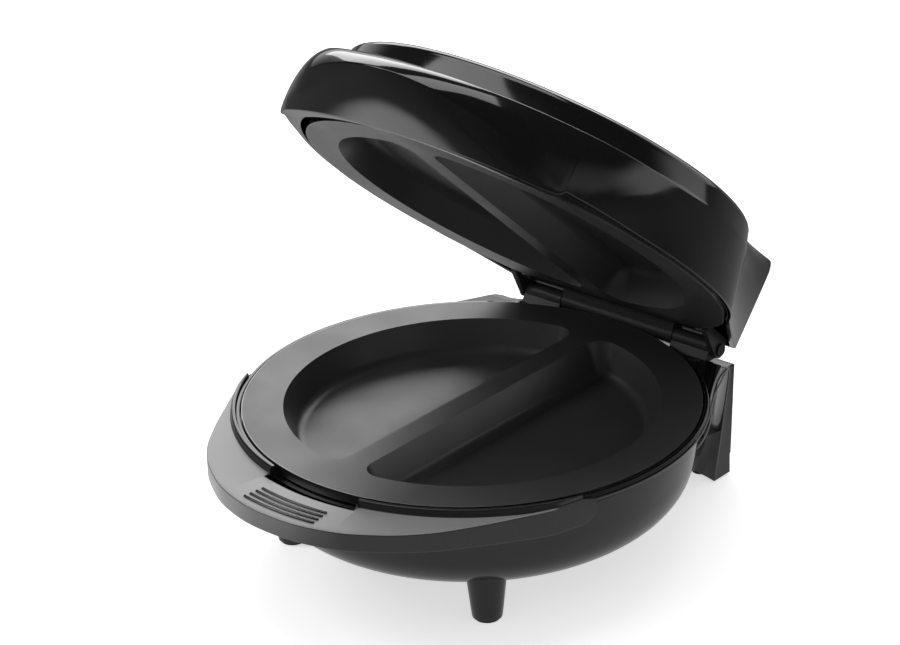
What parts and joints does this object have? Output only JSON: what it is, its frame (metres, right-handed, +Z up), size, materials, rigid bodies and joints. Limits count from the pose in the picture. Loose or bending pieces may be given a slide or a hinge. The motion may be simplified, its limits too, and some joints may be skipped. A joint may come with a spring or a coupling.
{
  "type": "omelette maker",
  "caption": "Round electric omelette maker, its lid standing half open over D-shaped pockets, with a crescent front handle, short legs and a hinge block at the rear.",
  "frame": {"origin": "centre of the overall box on the worktop, lid standing open", "axes": "+Y from the front handle back to the hinge, +X to the right seen from the front, +Z up"},
  "size_m": [0.217, 0.284, 0.2437],
  "materials": {
    "housing": "gloss",
    "grip": "satin",
    "plate": "satin",
    "bracket": "satin",
    "heater": "brushed",
    "sheet": "satin",
    "steel": "brushed",
    "pad": "matte",
    "ceramic": "matte",
    "lead": "matte",
    "gland": "matte",
    "red_lens": "gloss",
    "green_lens": "gloss",
    "lamp_glass": "gloss",
    "holder": "matte"
  },
  "bodies": {
    "base": {"lower_housing": "housing", "front_handle": "grip", "lower_plate": "plate", "lower_element": "heater", "lower_clamps": "steel", "lower_reflector": "sheet", "lower_clamp_screws": "steel", "lower_tie_screws": "steel", "thermostat": "ceramic", "thermostat_screws": "steel", "thermal_fuse": "sheet", "terminal_block": "ceramic", "element_leads": "lead", "cord_gland": "gland", "lower_hinge_bracket": "bracket", "lower_hinge_screws": "steel", "hinge_pin": "steel", "front_left_pad": "pad", "front_right_pad": "pad", "rear_left_pad": "pad", "rear_right_pad": "pad"},
    "lid": {"lid_housing": "housing", "lid_screw_covers": "housing", "upper_plate": "plate", "upper_element": "heater", "upper_clamps": "steel", "upper_reflector": "sheet", "upper_clamp_screws": "steel", "upper_tie_screws": "steel", "upper_hinge_bracket": "bracket", "upper_hinge_screws": "steel", "power_lamp_lens": "red_lens", "ready_lamp_lens": "green_lens", "neon_lamps": "lamp_glass", "lamp_holder": "holder"}
  },
  "joints": [
    {"name": "lid_hinge", "type": "hinge", "parent": "base", "child": "lid", "pos_m": [0, 0.1042, 0.0652], "axis": [-1, 0, 0], "range_deg": [-42.3, 62.7]}
  ]
}
